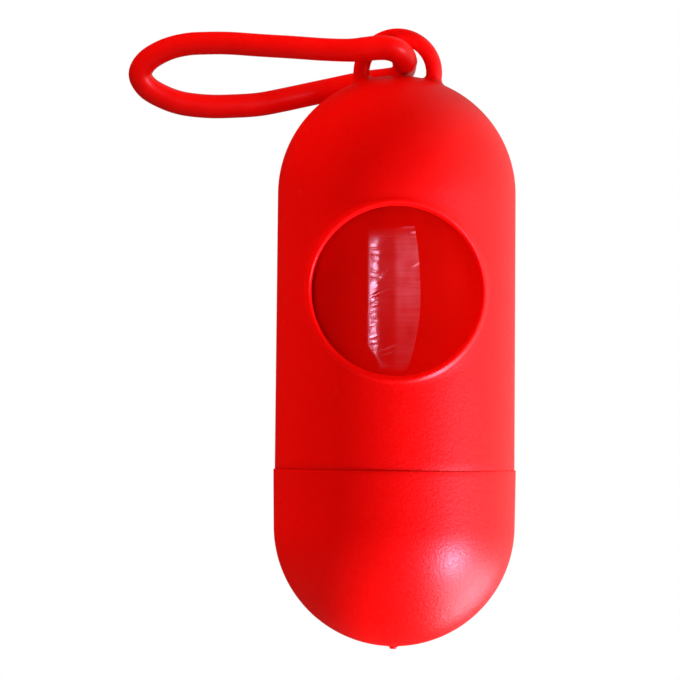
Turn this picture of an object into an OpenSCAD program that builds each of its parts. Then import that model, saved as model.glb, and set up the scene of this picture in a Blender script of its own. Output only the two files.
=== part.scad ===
// Pill-shaped bag dispenser: a barrel with a moulded bail and a round window, an end cap
// that screws onto the barrel's neck, a soft loop through the bail, and a roll of bags.
// Millimetres. The origin is the centre of the bail's eye, +Z runs up along the capsule,
// the window faces -Y and the loop lies towards -X.

/* [Refill roll] */
// Outside diameter of the full roll of bags
roll_d = 28; // [26:0.5:30]
// Width of the film, which is the length of the roll
roll_len = 60; // [54:1:66]
// Outside diameter of the card core
core_d = 13; // [11:0.5:16]
// Thickness of the card
core_wall = 1; // [0.8:0.1:1.5]
// Radial gap between the card core and the film wound on it
core_fit = 0.05; // [0.03:0.01:0.1]
// Thickness of the folded film of the outermost bag
bag_film = 0.15; // [0.1:0.05:0.25]
// Radial gap between the wound web and the outermost bag
film_gap = 0.03; // [0.02:0.01:0.05]
// Angle over which the loose end of the outermost bag lies on that bag
tail_angle = 60; // [20:5:120]
// Direction that the loose end's edge faces, counted from +X
tail_edge = 285; // [200:5:330]

/* [Barrel] */
// Radial room between the roll and the neck that it goes in through
roll_room = 0.6; // [0.4:0.1:1]
// Room between the roll's top rim and the inside of the dome
roll_headroom = 6; // [3:0.1:10]
// Wall of the barrel and of its dome
barrel_wall = 1.5; // [1.2:0.1:2]
// Radius that the barrel loses between the seam and the dome
barrel_draft = 0.15; // [0:0.05:0.4]

/* [Window] */
// Diameter of the round window
window_d = 25; // [18:0.5:26]
// Distance from the foot of the dome down to the window's centre
window_drop = 14.4; // [13.5:0.1:20]
// Width of the raised rim round the window
rim_w = 1.3; // [0.8:0.1:2]
// Height of the rim above the barrel
rim_h = 0.45; // [0.2:0.05:0.8]

/* [Neck and thread] */
// Length of the neck below the seam
neck_h = 7; // [6.5:0.1:8]
// Wall of the neck under its thread
neck_wall = 1.2; // [1:0.1:1.6]
// Thickness of the shoulder above the seam that carries the neck
shoulder_h = 1.5; // [1:0.1:3]
// Rise of the thread in one turn
thread_pitch = 3; // [2.8:0.1:3.2]
// Turns of the thread
thread_turns = 1.5; // [1:0.25:1.5]
// Height of the thread's ridge
thread_depth = 0.8; // [0.5:0.05:0.9]
// Width of the ridge at its root
thread_root_w = 1.8; // [1.4:0.1:1.8]
// Width of the ridge at its crest
thread_crest_w = 0.8; // [0.5:0.1:0.9]
// Radial clearance between each crest and the wall that faces it
thread_clearance = 0.2; // [0.15:0.05:0.3]
// Length of plain neck below the thread
thread_lead = 0.3; // [0.1:0.1:0.5]

/* [End cap] */
// Wall of the cap
cap_wall = 1.2; // [1:0.1:1.6]
// Step by which the cap's lip stands out past the barrel
cap_step = 0.2; // [0:0.05:0.5]
// Radius that the cap loses between its lip and its round end
cap_draft = 0.1; // [0:0.05:0.3]
// Length of the cap's threaded skirt
skirt_h = 8.2; // [8:0.1:12]
// Height of the fine seam between barrel and cap
seam_gap = 0.15; // [0.05:0.05:0.3]
// Gap between the roll's lower rim and the bowl of the cap
seat_gap = 0.3; // [0.2:0.05:0.5]
// Diameter of the moulding gate's stub at the tip of the cap
gate_d = 1; // [0.6:0.1:1.5]
// Height of that stub
gate_h = 0.4; // [0.2:0.1:0.6]

/* [Bail] */
// Free width of the bail's eye
eye_w = 8.4; // [8:0.1:12]
// Free height of the eye, from the top of the dome to the arch
eye_h = 4.6; // [4.4:0.1:6]
// Diameter of the bail's rod
bail_rod_d = 2.4; // [2:0.1:3]

/* [Soft loop] */
// Diameter of the loop's cord
cord_d = 3.4; // [2.6:0.1:3.6]
// Clearance between the cord and the dome under it
cord_clearance = 0.3; // [0.3:0.05:0.6]
// Distance of the cord from the middle of the eye
cord_offset = 1; // [0:0.1:1.2]

/* [Hidden] */
$fn = 96;

shell_red = "#e8100c";
strap_red = "#c80a08";
film_red = "#f0241c";
card_brown = "#b08a5c";

// Overrun of a cutting solid past the face that it cuts
cut = 1;
// Depth to which a thread ridge is rooted in its wall
ridge_sink = 0.3;

// Radii, from the roll outwards
roll_r = roll_d / 2;
bag_r = roll_r - bag_film;
web_r = bag_r - bag_film - film_gap;
core_r = core_d / 2;
neck_bore_r = roll_r + roll_room;
neck_r = neck_bore_r + neck_wall;
cap_bore_r = neck_r + thread_depth + thread_clearance;
cap_r = cap_bore_r + cap_wall;
cap_end_r = cap_r - cap_draft;
barrel_r = cap_r - cap_step;
dome_r = barrel_r - barrel_draft;
bore_r = dome_r - barrel_wall;

// Heights, from the eye downwards
seat_depth = sqrt(pow(cap_bore_r - seat_gap, 2) - pow(roll_r, 2));
dome_reach = sqrt(pow(bore_r, 2) - pow(roll_r, 2));
barrel_h = roll_len + roll_headroom - dome_reach - seam_gap - skirt_h - seat_depth;
dome_z = -eye_h / 2 - dome_r;
seam_z = dome_z - barrel_h;
neck_z = seam_z - neck_h;
lip_z = seam_z - seam_gap;
bowl_z = lip_z - skirt_h;
roll_z = bowl_z - seat_depth;
window_z = dome_z - window_drop;

// Bail: a round ring, sunk into the dome
bail_ring_r = (eye_w + bail_rod_d) / 2;
bail_ring_z = (eye_h - eye_w) / 2;

// Thread: the height of its centre line where the ridge starts
neck_thread_z = neck_z + thread_lead + thread_root_w / 2;
cap_thread_z = neck_thread_z - thread_pitch / 2;
thread_steps = 36;
// Share of a turn over which a ridge fades at either end
thread_fade = 0.08;

// Soft loop: the straight stretch in the eye, then the route round to its other end
cord_r = cord_d / 2;
cord_z = -eye_h / 2 + cord_r + cord_clearance;
cord_pass = 1;
// The route's tube starts this far inside the straight stretch, and is this much thinner
cord_lap = 0.2;
cord_ease = 0.05;
cord_sides = 8;
cord_cuts = 2;
cord_route = [
    [1, -1.5, -0.2], [0.8, -2.4, 0.4], [0.1, -3.2, 1.1], [-1.2, -3.5, 1.6],
    [-2.8, -3.5, 1.7], [-4.8, -3.5, 1.5], [-7.2, -3.3, 1.3], [-11, -2.7, 1.4],
    [-15.5, -1.8, 1.7], [-20.5, -0.6, 2], [-25, 0.4, 2.3], [-28.5, 1.1, 2.3],
    [-31.5, 1.6, 2.1], [-34.5, 2.1, 1.3], [-37.2, 2.6, -0.3], [-38.3, 3.1, -2.3],
    [-37.3, 3.6, -4.2], [-35, 4, -5.6], [-32, 4.4, -6.6], [-28, 4.9, -7],
    [-24, 5.4, -6.9], [-20.5, 6, -6.6], [-17, 6.7, -5.9], [-13.5, 7.6, -5.1],
    [-10, 8.5, -4.3], [-7, 9.1, -3.6], [-4, 9.7, -3], [-1.8, 9.8, -2.7],
    [-0.2, 9.1, -2.4], [0.7, 7.6, -1.7], [1, 5.5, -1], [1, 3.2, -0.5]
];

// Point of a smooth curve through p1 and p2, a share t of the way
function spline(p0, p1, p2, p3, t) =
    0.5 * (2 * p1 + (p2 - p0) * t + (2 * p0 - 5 * p1 + 4 * p2 - p3) * t * t
           + (3 * p1 - p0 - 3 * p2 + p3) * t * t * t);

// The route with each of its spans cut into equal steps
function smooth_route(p, cuts) =
    let (last = len(p) - 1)
    concat(
        [for (i = [0 : last - 1], k = [0 : cuts - 1])
            spline(p[max(i - 1, 0)], p[i], p[i + 1], p[min(i + 2, last)], k / cuts)],
        [p[last]]);

function unit(v) = v / norm(v);

// Direction of the route at point i
function heading(p, i) = unit(p[min(i + 1, len(p) - 1)] - p[max(i - 1, 0)]);

// Side vectors that follow the route without twisting
function side_vectors(p, side, i = 0) =
    i == len(p) ? [] :
    let (t = heading(p, i), s = unit(side - (side * t) * t))
    concat([s], side_vectors(p, s, i + 1));

// Faces of a tube of rings, each with the same number of points, closed at both ends
function tube_faces(rings, sides) = concat(
    [[for (k = [0 : sides - 1]) k]],
    [for (i = [0 : rings - 2], k = [0 : sides - 1], half = [0, 1])
        let (a = i * sides + k, b = i * sides + (k + 1) % sides)
        half == 0 ? [a, a + sides, b + sides] : [a, b + sides, b]],
    [[for (k = [sides - 1 : -1 : 0]) (rings - 1) * sides + k]]);

// A round tube of radius r along the points p, which starts along -Y
module swept_tube(p, r) {
    sides = side_vectors(p, [1, 0, 0]);
    points = [for (i = [0 : len(p) - 1])
        let (u = sides[i], v = cross(heading(p, i), u))
        for (k = [0 : cord_sides - 1])
            p[i] + r * (u * cos(k * 360 / cord_sides) + v * sin(k * 360 / cord_sides))];
    polyhedron(points, tube_faces(len(p), cord_sides));
}

// A right-hand ridge on the wall of radius wall_r, which stands out by height:
// outwards where height is positive, inwards where it is negative
module thread_ridge(wall_r, height, start_z) {
    steps = round(thread_steps * thread_turns);
    root = height > 0 ? wall_r - ridge_sink : wall_r + ridge_sink;
    flank = (thread_root_w - thread_crest_w) / 2 / abs(height);
    points = [for (i = [0 : steps])
        let (turn = thread_turns * i / steps,
             fade = min(1, 0.4 + 0.6 * min(turn, thread_turns - turn) / thread_fade),
             z = start_z + thread_pitch * turn,
             crest = wall_r + height * fade,
             crest_half = thread_root_w / 2 - flank * abs(height) * fade,
             root_half = thread_root_w / 2 + flank * ridge_sink)
        for (q = [[root, -root_half], [crest, -crest_half], [crest, crest_half], [root, root_half]])
            [q[0] * cos(360 * turn), q[0] * sin(360 * turn), z + q[1]]];
    faces = tube_faces(steps + 1, 4);
    polyhedron(points, height < 0 ? faces : [for (f = faces) [for (k = [len(f) - 1 : -1 : 0]) f[k]]]);
}

// Solid outline of the barrel above the seam, grown by extra
module barrel_outline(extra) {
    translate([0, 0, dome_z]) sphere(dome_r + extra);
    translate([0, 0, seam_z]) cylinder(h = barrel_h, r1 = barrel_r + extra, r2 = dome_r + extra);
}

// Raised rim round the window, as a solid disc that follows the barrel
module window_rim() {
    intersection() {
        barrel_outline(rim_h);
        translate([0, 0, window_z]) rotate([90, 0, 0])
            cylinder(h = barrel_r + cut, r = window_d / 2 + rim_w);
    }
}

module bail() {
    translate([0, 0, bail_ring_z]) rotate([90, 0, 0])
        rotate_extrude() translate([bail_ring_r, 0]) circle(d = bail_rod_d);
}

module barrel() color(shell_red) {
    difference() {
        union() {
            barrel_outline(0);
            window_rim();
            bail();
            translate([0, 0, neck_z]) cylinder(h = neck_h + shoulder_h, r = neck_r);
        }
        translate([0, 0, dome_z]) sphere(bore_r);
        translate([0, 0, seam_z + shoulder_h]) cylinder(h = barrel_h - shoulder_h, r = bore_r);
        translate([0, 0, neck_z - cut]) cylinder(h = neck_h + shoulder_h + 2 * cut, r = neck_bore_r);
        translate([0, 0, window_z]) rotate([90, 0, 0])
            cylinder(h = barrel_r + 2 * cut, d = window_d);
    }
    thread_ridge(neck_r, thread_depth, neck_thread_z);
}

// Lower half of a ball of radius r
module bowl(r) {
    rotate_extrude() intersection() {
        circle(r);
        translate([0, -r]) square(r);
    }
}

module end_cap() color(shell_red) {
    difference() {
        union() {
            translate([0, 0, bowl_z]) cylinder(h = skirt_h, r1 = cap_end_r, r2 = cap_r);
            translate([0, 0, bowl_z]) bowl(cap_end_r);
            translate([0, 0, bowl_z - cap_end_r - gate_h]) cylinder(h = gate_h + cap_wall / 2, d = gate_d);
        }
        translate([0, 0, bowl_z]) bowl(cap_bore_r);
        translate([0, 0, bowl_z]) cylinder(h = skirt_h + cut, r = cap_bore_r);
    }
    thread_ridge(cap_bore_r, -thread_depth, cap_thread_z);
}

module strap_loop() color(strap_red) {
    ends = [[cord_offset, -cord_pass + cord_lap, cord_z], [cord_offset, cord_pass - cord_lap, cord_z]];
    translate([cord_offset, 0, cord_z]) rotate([90, 0, 0])
        cylinder(h = 2 * cord_pass, r = cord_r, center = true);
    swept_tube(smooth_route(concat([ends[0]], cord_route, [ends[1]]), cord_cuts), cord_r - cord_ease);
}

module roll_core() color(card_brown)
    translate([0, 0, roll_z]) difference() {
        cylinder(h = roll_len, r = core_r);
        translate([0, 0, -cut]) cylinder(h = roll_len + 2 * cut, r = core_r - core_wall);
    }

module bag_roll() color(film_red)
    translate([0, 0, roll_z]) difference() {
        cylinder(h = roll_len, r = web_r);
        translate([0, 0, -cut]) cylinder(h = roll_len + 2 * cut, r = core_r + core_fit);
    }

module leading_bag() color(film_red)
    translate([0, 0, roll_z]) {
        rotate_extrude() translate([web_r + film_gap, 0]) square([bag_film, roll_len]);
        rotate([0, 0, tail_edge - tail_angle]) rotate_extrude(angle = tail_angle)
            translate([bag_r - bag_film / 2, 0]) square([bag_film * 3 / 2, roll_len]);
    }

barrel();
end_cap();
strap_loop();
roll_core();
bag_roll();
leading_bag();
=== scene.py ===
"""Looks of a pill-shaped bag dispenser, built around its packed construction model.

The barrel, the end cap, the soft loop and the refill roll are modelled here in full detail.
Each of their classes holds its sizes in millimetres and takes the rest from the frame's boxes.
Their meshes are made in millimetres and scaled to metres at the end. The studio is in metres.
"""

import logging
import math
import random
from collections.abc import Sequence
from dataclasses import dataclass, replace
from enum import Enum, IntEnum
import bmesh
import bpy
from mathutils import Matrix, Vector, noise


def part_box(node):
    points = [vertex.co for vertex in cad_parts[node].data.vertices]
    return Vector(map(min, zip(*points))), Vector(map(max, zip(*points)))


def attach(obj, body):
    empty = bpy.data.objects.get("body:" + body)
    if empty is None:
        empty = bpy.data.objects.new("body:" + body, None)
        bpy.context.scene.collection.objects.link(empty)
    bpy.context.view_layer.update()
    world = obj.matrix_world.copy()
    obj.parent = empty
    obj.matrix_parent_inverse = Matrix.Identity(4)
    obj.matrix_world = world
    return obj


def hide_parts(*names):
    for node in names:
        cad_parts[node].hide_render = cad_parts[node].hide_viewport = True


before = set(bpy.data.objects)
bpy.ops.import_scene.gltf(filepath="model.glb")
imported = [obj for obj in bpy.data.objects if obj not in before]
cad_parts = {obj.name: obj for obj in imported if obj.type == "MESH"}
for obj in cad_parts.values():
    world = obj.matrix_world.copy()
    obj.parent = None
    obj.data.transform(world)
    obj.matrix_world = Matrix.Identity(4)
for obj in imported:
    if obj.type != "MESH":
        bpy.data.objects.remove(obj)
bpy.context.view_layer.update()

log = logging.getLogger("dispenser")

MM = 0.001
# Vertices in a full turn of a spun piece
COLUMNS = 144
# Vertices nearer than this, in millimetres, are one
WELD = 0.002
# Angle of a dome's last row before its pole, in degrees
LAST_ROW = 87.5
AXIS_Z = Vector((0, 0, 1))

Point = tuple[float, float]
Span = tuple[float, float]
Triple = tuple[float, float, float]
Ring = list[Vector]
Loop = list[bmesh.types.BMVert]
Patch = set[bmesh.types.BMFace]
Inputs = dict[str | int, object]


# ---------------------------------------------------------------- small helpers


def box_mm(node: str) -> tuple[Vector, Vector]:
    """Give a construction node's lowest and highest corners in millimetres.

    Args:
        node: name of the node.

    Returns:
        The lowest and the highest corner.
    """
    low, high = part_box(node)
    return low / MM, high / MM


def linear(hex_colour: str) -> tuple[float, float, float, float]:
    """Turn an sRGB hex colour into linear light.

    Args:
        hex_colour: six hex digits.

    Returns:
        Linear red, green and blue, and an alpha of 1.
    """
    channels = [int(hex_colour[i : i + 2], 16) / 255 for i in (0, 2, 4)]
    lit = [c / 12.92 if c <= 0.04045 else ((c + 0.055) / 1.055) ** 2.4 for c in channels]
    return (lit[0], lit[1], lit[2], 1.0)


def smooth_step(low: float, high: float, value: float) -> float:
    """Rise smoothly from 0 at low to 1 at high.

    Args:
        low: where the rise starts.
        high: where it ends.
        value: the place asked for.

    Returns:
        A share from 0 to 1.
    """
    t = min(1.0, max(0.0, (value - low) / (high - low)))
    return t * t * (3 - 2 * t)


def arc(centre: Point, radii: Point, start: float, end: float, steps: int) -> list[Point]:
    """Lay points along an arc of a circle or ellipse in a profile's plane.

    Args:
        centre: centre of the arc.
        radii: half widths along the two directions.
        start: angle of the first point, in degrees.
        end: angle of the last point, in degrees.
        steps: number of steps between them.

    Returns:
        The points, both ends included.
    """
    angles = [math.radians(start + (end - start) * i / steps) for i in range(steps + 1)]
    return [(centre[0] + radii[0] * math.cos(a), centre[1] + radii[1] * math.sin(a)) for a in angles]


def line(start: Point, end: Point, steps: int) -> list[Point]:
    """Lay points along a straight stretch of a profile, without its two ends.

    Args:
        start: point before the first one.
        end: point after the last one.
        steps: number of steps between start and end.

    Returns:
        The points between start and end.
    """
    shares = [i / steps for i in range(1, steps)]
    return [(start[0] + (end[0] - start[0]) * t, start[1] + (end[1] - start[1]) * t) for t in shares]


def spin_profile(bm: bmesh.types.BMesh, profile: Sequence[Point], closed: bool = False) -> None:
    """Spin a profile a full turn about the capsule's axis.

    Args:
        bm: mesh that receives the shape.
        profile: distances from the axis and heights, in order.
        closed: whether the last point joins the first.
    """
    verts = [bm.verts.new((r, 0, z)) for r, z in profile]
    edges = [bm.edges.new(pair) for pair in zip(verts, verts[1:])]
    if closed:
        edges.append(bm.edges.new((verts[-1], verts[0])))
    bmesh.ops.spin(
        bm,
        geom=verts + edges,
        cent=(0, 0, 0),
        axis=AXIS_Z,
        angle=2 * math.pi,
        steps=COLUMNS,
        use_merge=True,
    )
    bmesh.ops.remove_doubles(bm, verts=bm.verts, dist=WELD)


def walk_boundary(faces: Patch, near: Vector, heading: Vector) -> Loop:
    """Put the vertices round a patch of faces in order.

    Args:
        faces: the faces of the patch.
        near: the first vertex is the one nearest to this point.
        heading: the second vertex is the neighbour that lies farther this way.

    Returns:
        The vertices round the patch.
    """
    rim = {e for f in faces for e in f.edges if sum(g in faces for g in e.link_faces) == 1}
    linked: dict[bmesh.types.BMVert, Loop] = {}
    for edge in rim:
        for vert in edge.verts:
            linked.setdefault(vert, []).append(edge.other_vert(vert))
    distances = {vert: (vert.co - near).length for vert in linked}
    first = min(distances, key=distances.get)
    one, other = linked[first]
    loop = [first, one if heading.dot(one.co) > heading.dot(other.co) else other]
    while True:
        ahead = next(v for v in linked[loop[-1]] if v is not loop[-2])
        if ahead is first:
            return loop
        loop.append(ahead)


def march(bm: bmesh.types.BMesh, loop: Loop, rings: Sequence[Ring]) -> None:
    """Extrude a closed loop of vertices from ring to ring.

    Args:
        bm: mesh that holds the loop.
        loop: vertices in order.
        rings: places of the vertices in each further ring.
    """
    for ring in rings:
        edges = [bm.edges.get(pair) for pair in zip(loop, loop[1:] + loop[:1])]
        made = bmesh.ops.extrude_edge_only(bm, edges=edges)["geom"]
        fresh = {g for g in made if isinstance(g, bmesh.types.BMVert)}
        loop = [next(e.other_vert(v) for e in v.link_edges if e.other_vert(v) in fresh) for v in loop]
        for vert, place in zip(loop, ring):
            vert.co = place


def put_in_scene(name: str, data: bpy.types.ID) -> bpy.types.Object:
    """Put a mesh, a lamp or a camera into the scene.

    Args:
        name: name of the object.
        data: the mesh, lamp or camera.

    Returns:
        The linked object.
    """
    item = bpy.data.objects.new(name, data)
    bpy.context.scene.collection.objects.link(item)
    return item


def make_piece(
    name: str, bm: bmesh.types.BMesh, material: bpy.types.Material, sharp_angle: float = 40.0
) -> bpy.types.Object:
    """Turn a mesh in millimetres into an object in metres.

    Args:
        name: name of the piece.
        bm: its mesh, which is freed.
        material: its material.
        sharp_angle: edges bent by more degrees than this stay sharp.

    Returns:
        The linked object.
    """
    bmesh.ops.recalc_face_normals(bm, faces=bm.faces)
    bmesh.ops.scale(bm, vec=(MM, MM, MM), verts=bm.verts)
    mesh = bpy.data.meshes.new(name)
    bm.to_mesh(mesh)
    bm.free()
    mesh.shade_smooth()
    mesh.set_sharp_from_angle(angle=math.radians(sharp_angle))
    mesh.materials.append(material)
    return put_in_scene(name, mesh)


def feed(tree: bpy.types.NodeTree, node: bpy.types.Node, inputs: Inputs) -> None:
    """Give a node's inputs their values and links.

    Args:
        tree: node tree that holds the node.
        node: the node.
        inputs: for each input's name or number, a value or the socket that feeds it.
    """
    for key, value in inputs.items():
        if isinstance(value, bpy.types.NodeSocket):
            tree.links.new(value, node.inputs[key])
        else:
            node.inputs[key].default_value = value


def add_node(
    tree: bpy.types.NodeTree, kind: str, inputs: Inputs | None = None, **settings: object
) -> bpy.types.Node:
    """Add a node with its settings, values and links.

    Args:
        tree: node tree that receives it.
        kind: the node's type name.
        inputs: for each input's name or number, a value or the socket that feeds it.
        settings: the node's own properties.

    Returns:
        The new node.
    """
    node = tree.nodes.new(kind)
    for key, value in settings.items():
        setattr(node, key, value)
    feed(tree, node, inputs or {})
    return node


def new_material(name: str) -> tuple[bpy.types.Material, bpy.types.NodeTree, bpy.types.Node]:
    """Start a node material.

    Args:
        name: name of the material.

    Returns:
        The material, its node tree and its Principled shader.
    """
    material = bpy.data.materials.new(name)
    material.use_nodes = True
    tree = material.node_tree
    return material, tree, tree.nodes["Principled BSDF"]


def scattering(depths_mm: Triple) -> Inputs:
    """Say how the Principled shader lets light wander inside a translucent plastic.

    Args:
        depths_mm: mean free paths for red, green and blue.

    Returns:
        The shader's inputs.
    """
    return {"Subsurface Weight": 1.0, "Subsurface Radius": depths_mm, "Subsurface Scale": MM}


# ---------------------------------------------------------------- finishes

# Nearly all values of a noise texture lie between these
NOISE_LOW, NOISE_HIGH = 0.3, 0.7


@dataclass(frozen=True)
class MouldedPolypropylene:
    """Polypropylene from a spark-eroded mould: a fine even grain that spreads highlights."""

    name: str = "moulded_polypropylene_red"
    colour: str = "f30703"
    deep_colour: str = "ec0501"
    scuff_colour: str = "f2403a"
    ior: float = 1.49
    roughness: float = 0.4
    roughness_spread: float = 0.06
    # Mean free paths in the pigmented plastic, for red, green and blue
    depths_mm: Triple = (1.2, 0.1, 0.1)
    # The mould's grain is near 0.08 mm; it is drawn at 0.4 mm, which is as fine as shows
    grain_mm: float = 0.4
    grain_depth_mm: float = 0.045
    flow_mm: float = 9.0
    scuff_mm: float = 1.6
    # The scuff pattern's values at which a scuff starts and is full
    scuff_onset: Span = (0.66, 0.78)
    scuff_strength: float = 0.5

    def material(self) -> bpy.types.Material:
        """Build the material.

        Returns:
            The finished material.
        """
        material, tree, shader = new_material(self.name)
        place = add_node(tree, "ShaderNodeTexCoord").outputs["Object"]
        # Size in millimetres, detail and roughness of each pattern
        patterns = ((self.flow_mm, 2.0, 0.5), (self.grain_mm, 2.0, 0.6), (self.scuff_mm, 6.0, 0.7))
        flow, grain, scuffs = (
            add_node(
                tree,
                "ShaderNodeTexNoise",
                {"Vector": place, "Scale": 1 / (size * MM), "Detail": detail, "Roughness": fineness},
            ).outputs["Fac"]
            for size, detail, fineness in patterns
        )
        start, full = self.scuff_onset
        worn = add_node(
            tree,
            "ShaderNodeMapRange",
            {"Value": scuffs, "From Min": start, "From Max": full, "To Max": self.scuff_strength},
        )
        tone = add_node(
            tree,
            "ShaderNodeMix",
            {"Factor": flow, "A": linear(self.deep_colour), "B": linear(self.colour)},
            data_type="RGBA",
        )
        colour = add_node(
            tree,
            "ShaderNodeMix",
            {"Factor": worn.outputs["Result"], "A": tone.outputs[2], "B": linear(self.scuff_colour)},
            data_type="RGBA",
        )
        rough = add_node(
            tree,
            "ShaderNodeMapRange",
            {
                "Value": grain,
                "From Min": NOISE_LOW,
                "From Max": NOISE_HIGH,
                "To Min": self.roughness - self.roughness_spread,
                "To Max": self.roughness + self.roughness_spread,
            },
        )
        bump = add_node(
            tree,
            "ShaderNodeBump",
            {"Height": grain, "Strength": 1.0, "Distance": self.grain_depth_mm * MM},
        )
        look = {
            "Base Color": colour.outputs[2],
            "Roughness": rough.outputs["Result"],
            "Normal": bump.outputs["Normal"],
            "IOR": self.ior,
        }
        feed(tree, shader, look | scattering(self.depths_mm))
        return material


@dataclass(frozen=True)
class SoftRubber:
    """Thermoplastic rubber from a polished mould: satin, a little darker than the casing."""

    name: str = "thermoplastic_rubber_red"
    colour: str = "ee0a06"
    deep_colour: str = "e20703"
    ior: float = 1.5
    roughness: float = 0.35
    roughness_spread: float = 0.05
    depths_mm: Triple = (0.8, 0.1, 0.1)
    bloom_mm: float = 3.0
    grain_mm: float = 0.35
    grain_depth_mm: float = 0.01

    def material(self) -> bpy.types.Material:
        """Build the material.

        Returns:
            The finished material.
        """
        material, tree, shader = new_material(self.name)
        place = add_node(tree, "ShaderNodeTexCoord").outputs["Object"]
        bloom, grain = (
            add_node(
                tree,
                "ShaderNodeTexNoise",
                {"Vector": place, "Scale": 1 / (size * MM), "Detail": detail},
            ).outputs["Fac"]
            for size, detail in ((self.bloom_mm, 3.0), (self.grain_mm, 2.0))
        )
        colour = add_node(
            tree,
            "ShaderNodeMix",
            {"Factor": bloom, "A": linear(self.deep_colour), "B": linear(self.colour)},
            data_type="RGBA",
        )
        rough = add_node(
            tree,
            "ShaderNodeMapRange",
            {
                "Value": bloom,
                "From Min": NOISE_LOW,
                "From Max": NOISE_HIGH,
                "To Min": self.roughness - self.roughness_spread,
                "To Max": self.roughness + self.roughness_spread,
            },
        )
        bump = add_node(
            tree,
            "ShaderNodeBump",
            {"Height": grain, "Strength": 1.0, "Distance": self.grain_depth_mm * MM},
        )
        look = {
            "Base Color": colour.outputs[2],
            "Roughness": rough.outputs["Result"],
            "Normal": bump.outputs["Normal"],
            "IOR": self.ior,
        }
        feed(tree, shader, look | scattering(self.depths_mm))
        return material


@dataclass(frozen=True)
class BlownFilm:
    """Blown polyethylene film: dull where taut, glossy on the loose flap, pale in creases and in
    painted sheen.
    """

    name: str = "blown_polyethylene_film_red"
    colour: str = "c40501"
    # Paleness towards this colour is crease whitening, plus painted sheen and painted glints that stand
    # in for light the flap reflects
    whitening_and_highlight_colour: str = "ffa6bc"
    ior: float = 1.52
    depths_mm: Triple = (0.12, 0.03, 0.03)
    roughness: float = 0.6
    flap_roughness: float = 0.09
    specular_level: float = 0.05
    # The flap's two plies reflect one after the other
    flap_specular_level: float = 1.0
    haze_mm: float = 2.5
    haze_roughness: float = 0.05

    def material(self) -> bpy.types.Material:
        """Build the material.

        Returns:
            The finished material.
        """
        material, tree, shader = new_material(self.name)
        place = add_node(tree, "ShaderNodeTexCoord").outputs["Object"]
        patchiness = add_node(
            tree,
            "ShaderNodeTexNoise",
            {"Vector": place, "Scale": 1 / (self.haze_mm * MM), "Detail": 4.0},
        )
        # The crease attribute holds the creases' whitening and the flap's painted sheen and painted
        # glints
        crease, flap = (
            add_node(tree, "ShaderNodeAttribute", attribute_name=name).outputs["Fac"]
            for name in ("crease", "flap")
        )
        colour = add_node(
            tree,
            "ShaderNodeMix",
            {"Factor": crease, "A": linear(self.colour), "B": linear(self.whitening_and_highlight_colour)},
            data_type="RGBA",
        )
        rough, level = (
            add_node(
                tree, "ShaderNodeMapRange", {"Value": flap, "To Min": taut, "To Max": loose}
            ).outputs["Result"]
            for taut, loose in (
                (self.roughness, self.flap_roughness),
                (self.specular_level, self.flap_specular_level),
            )
        )
        hazy = add_node(
            tree,
            "ShaderNodeMath",
            {0: patchiness.outputs["Fac"], 1: self.haze_roughness, 2: rough},
            operation="MULTIPLY_ADD",
        )
        look = {
            "Base Color": colour.outputs[2],
            "Roughness": hazy.outputs[0],
            "Specular IOR Level": level,
            "IOR": self.ior,
        }
        feed(tree, shader, look | scattering(self.depths_mm))
        return material


@dataclass(frozen=True)
class WoundWeb:
    """Tightly wound film seen from its side and ends: satin, with soft rings round its axis."""

    name: str = "wound_polyethylene_film_red"
    colour: str = "f40804"
    deep_colour: str = "ea0602"
    ior: float = 1.52
    roughness: float = 0.4
    depths_mm: Triple = (4.0, 0.2, 0.2)
    # A ply is 0.03 mm; the rings are drawn about 2.2 mm apart, as the bands of many plies
    ring_mm: float = 2.199

    def material(self) -> bpy.types.Material:
        """Build the material.

        Returns:
            The finished material.
        """
        material, tree, shader = new_material(self.name)
        place = add_node(tree, "ShaderNodeTexCoord").outputs["Object"]
        # At a scale of 1 the rings of a wave texture are a tenth of pi apart
        scale = math.pi / 10 / (self.ring_mm * MM)
        rings = add_node(
            tree,
            "ShaderNodeTexWave",
            {"Vector": place, "Scale": scale, "Distortion": 2.0, "Detail": 2.0},
            wave_type="RINGS",
            rings_direction="Z",
        )
        colour = add_node(
            tree,
            "ShaderNodeMix",
            {"Factor": rings.outputs["Fac"], "A": linear(self.deep_colour), "B": linear(self.colour)},
            data_type="RGBA",
        )
        look = {"Base Color": colour.outputs[2], "Roughness": self.roughness, "IOR": self.ior}
        feed(tree, shader, look | scattering(self.depths_mm))
        return material


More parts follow.
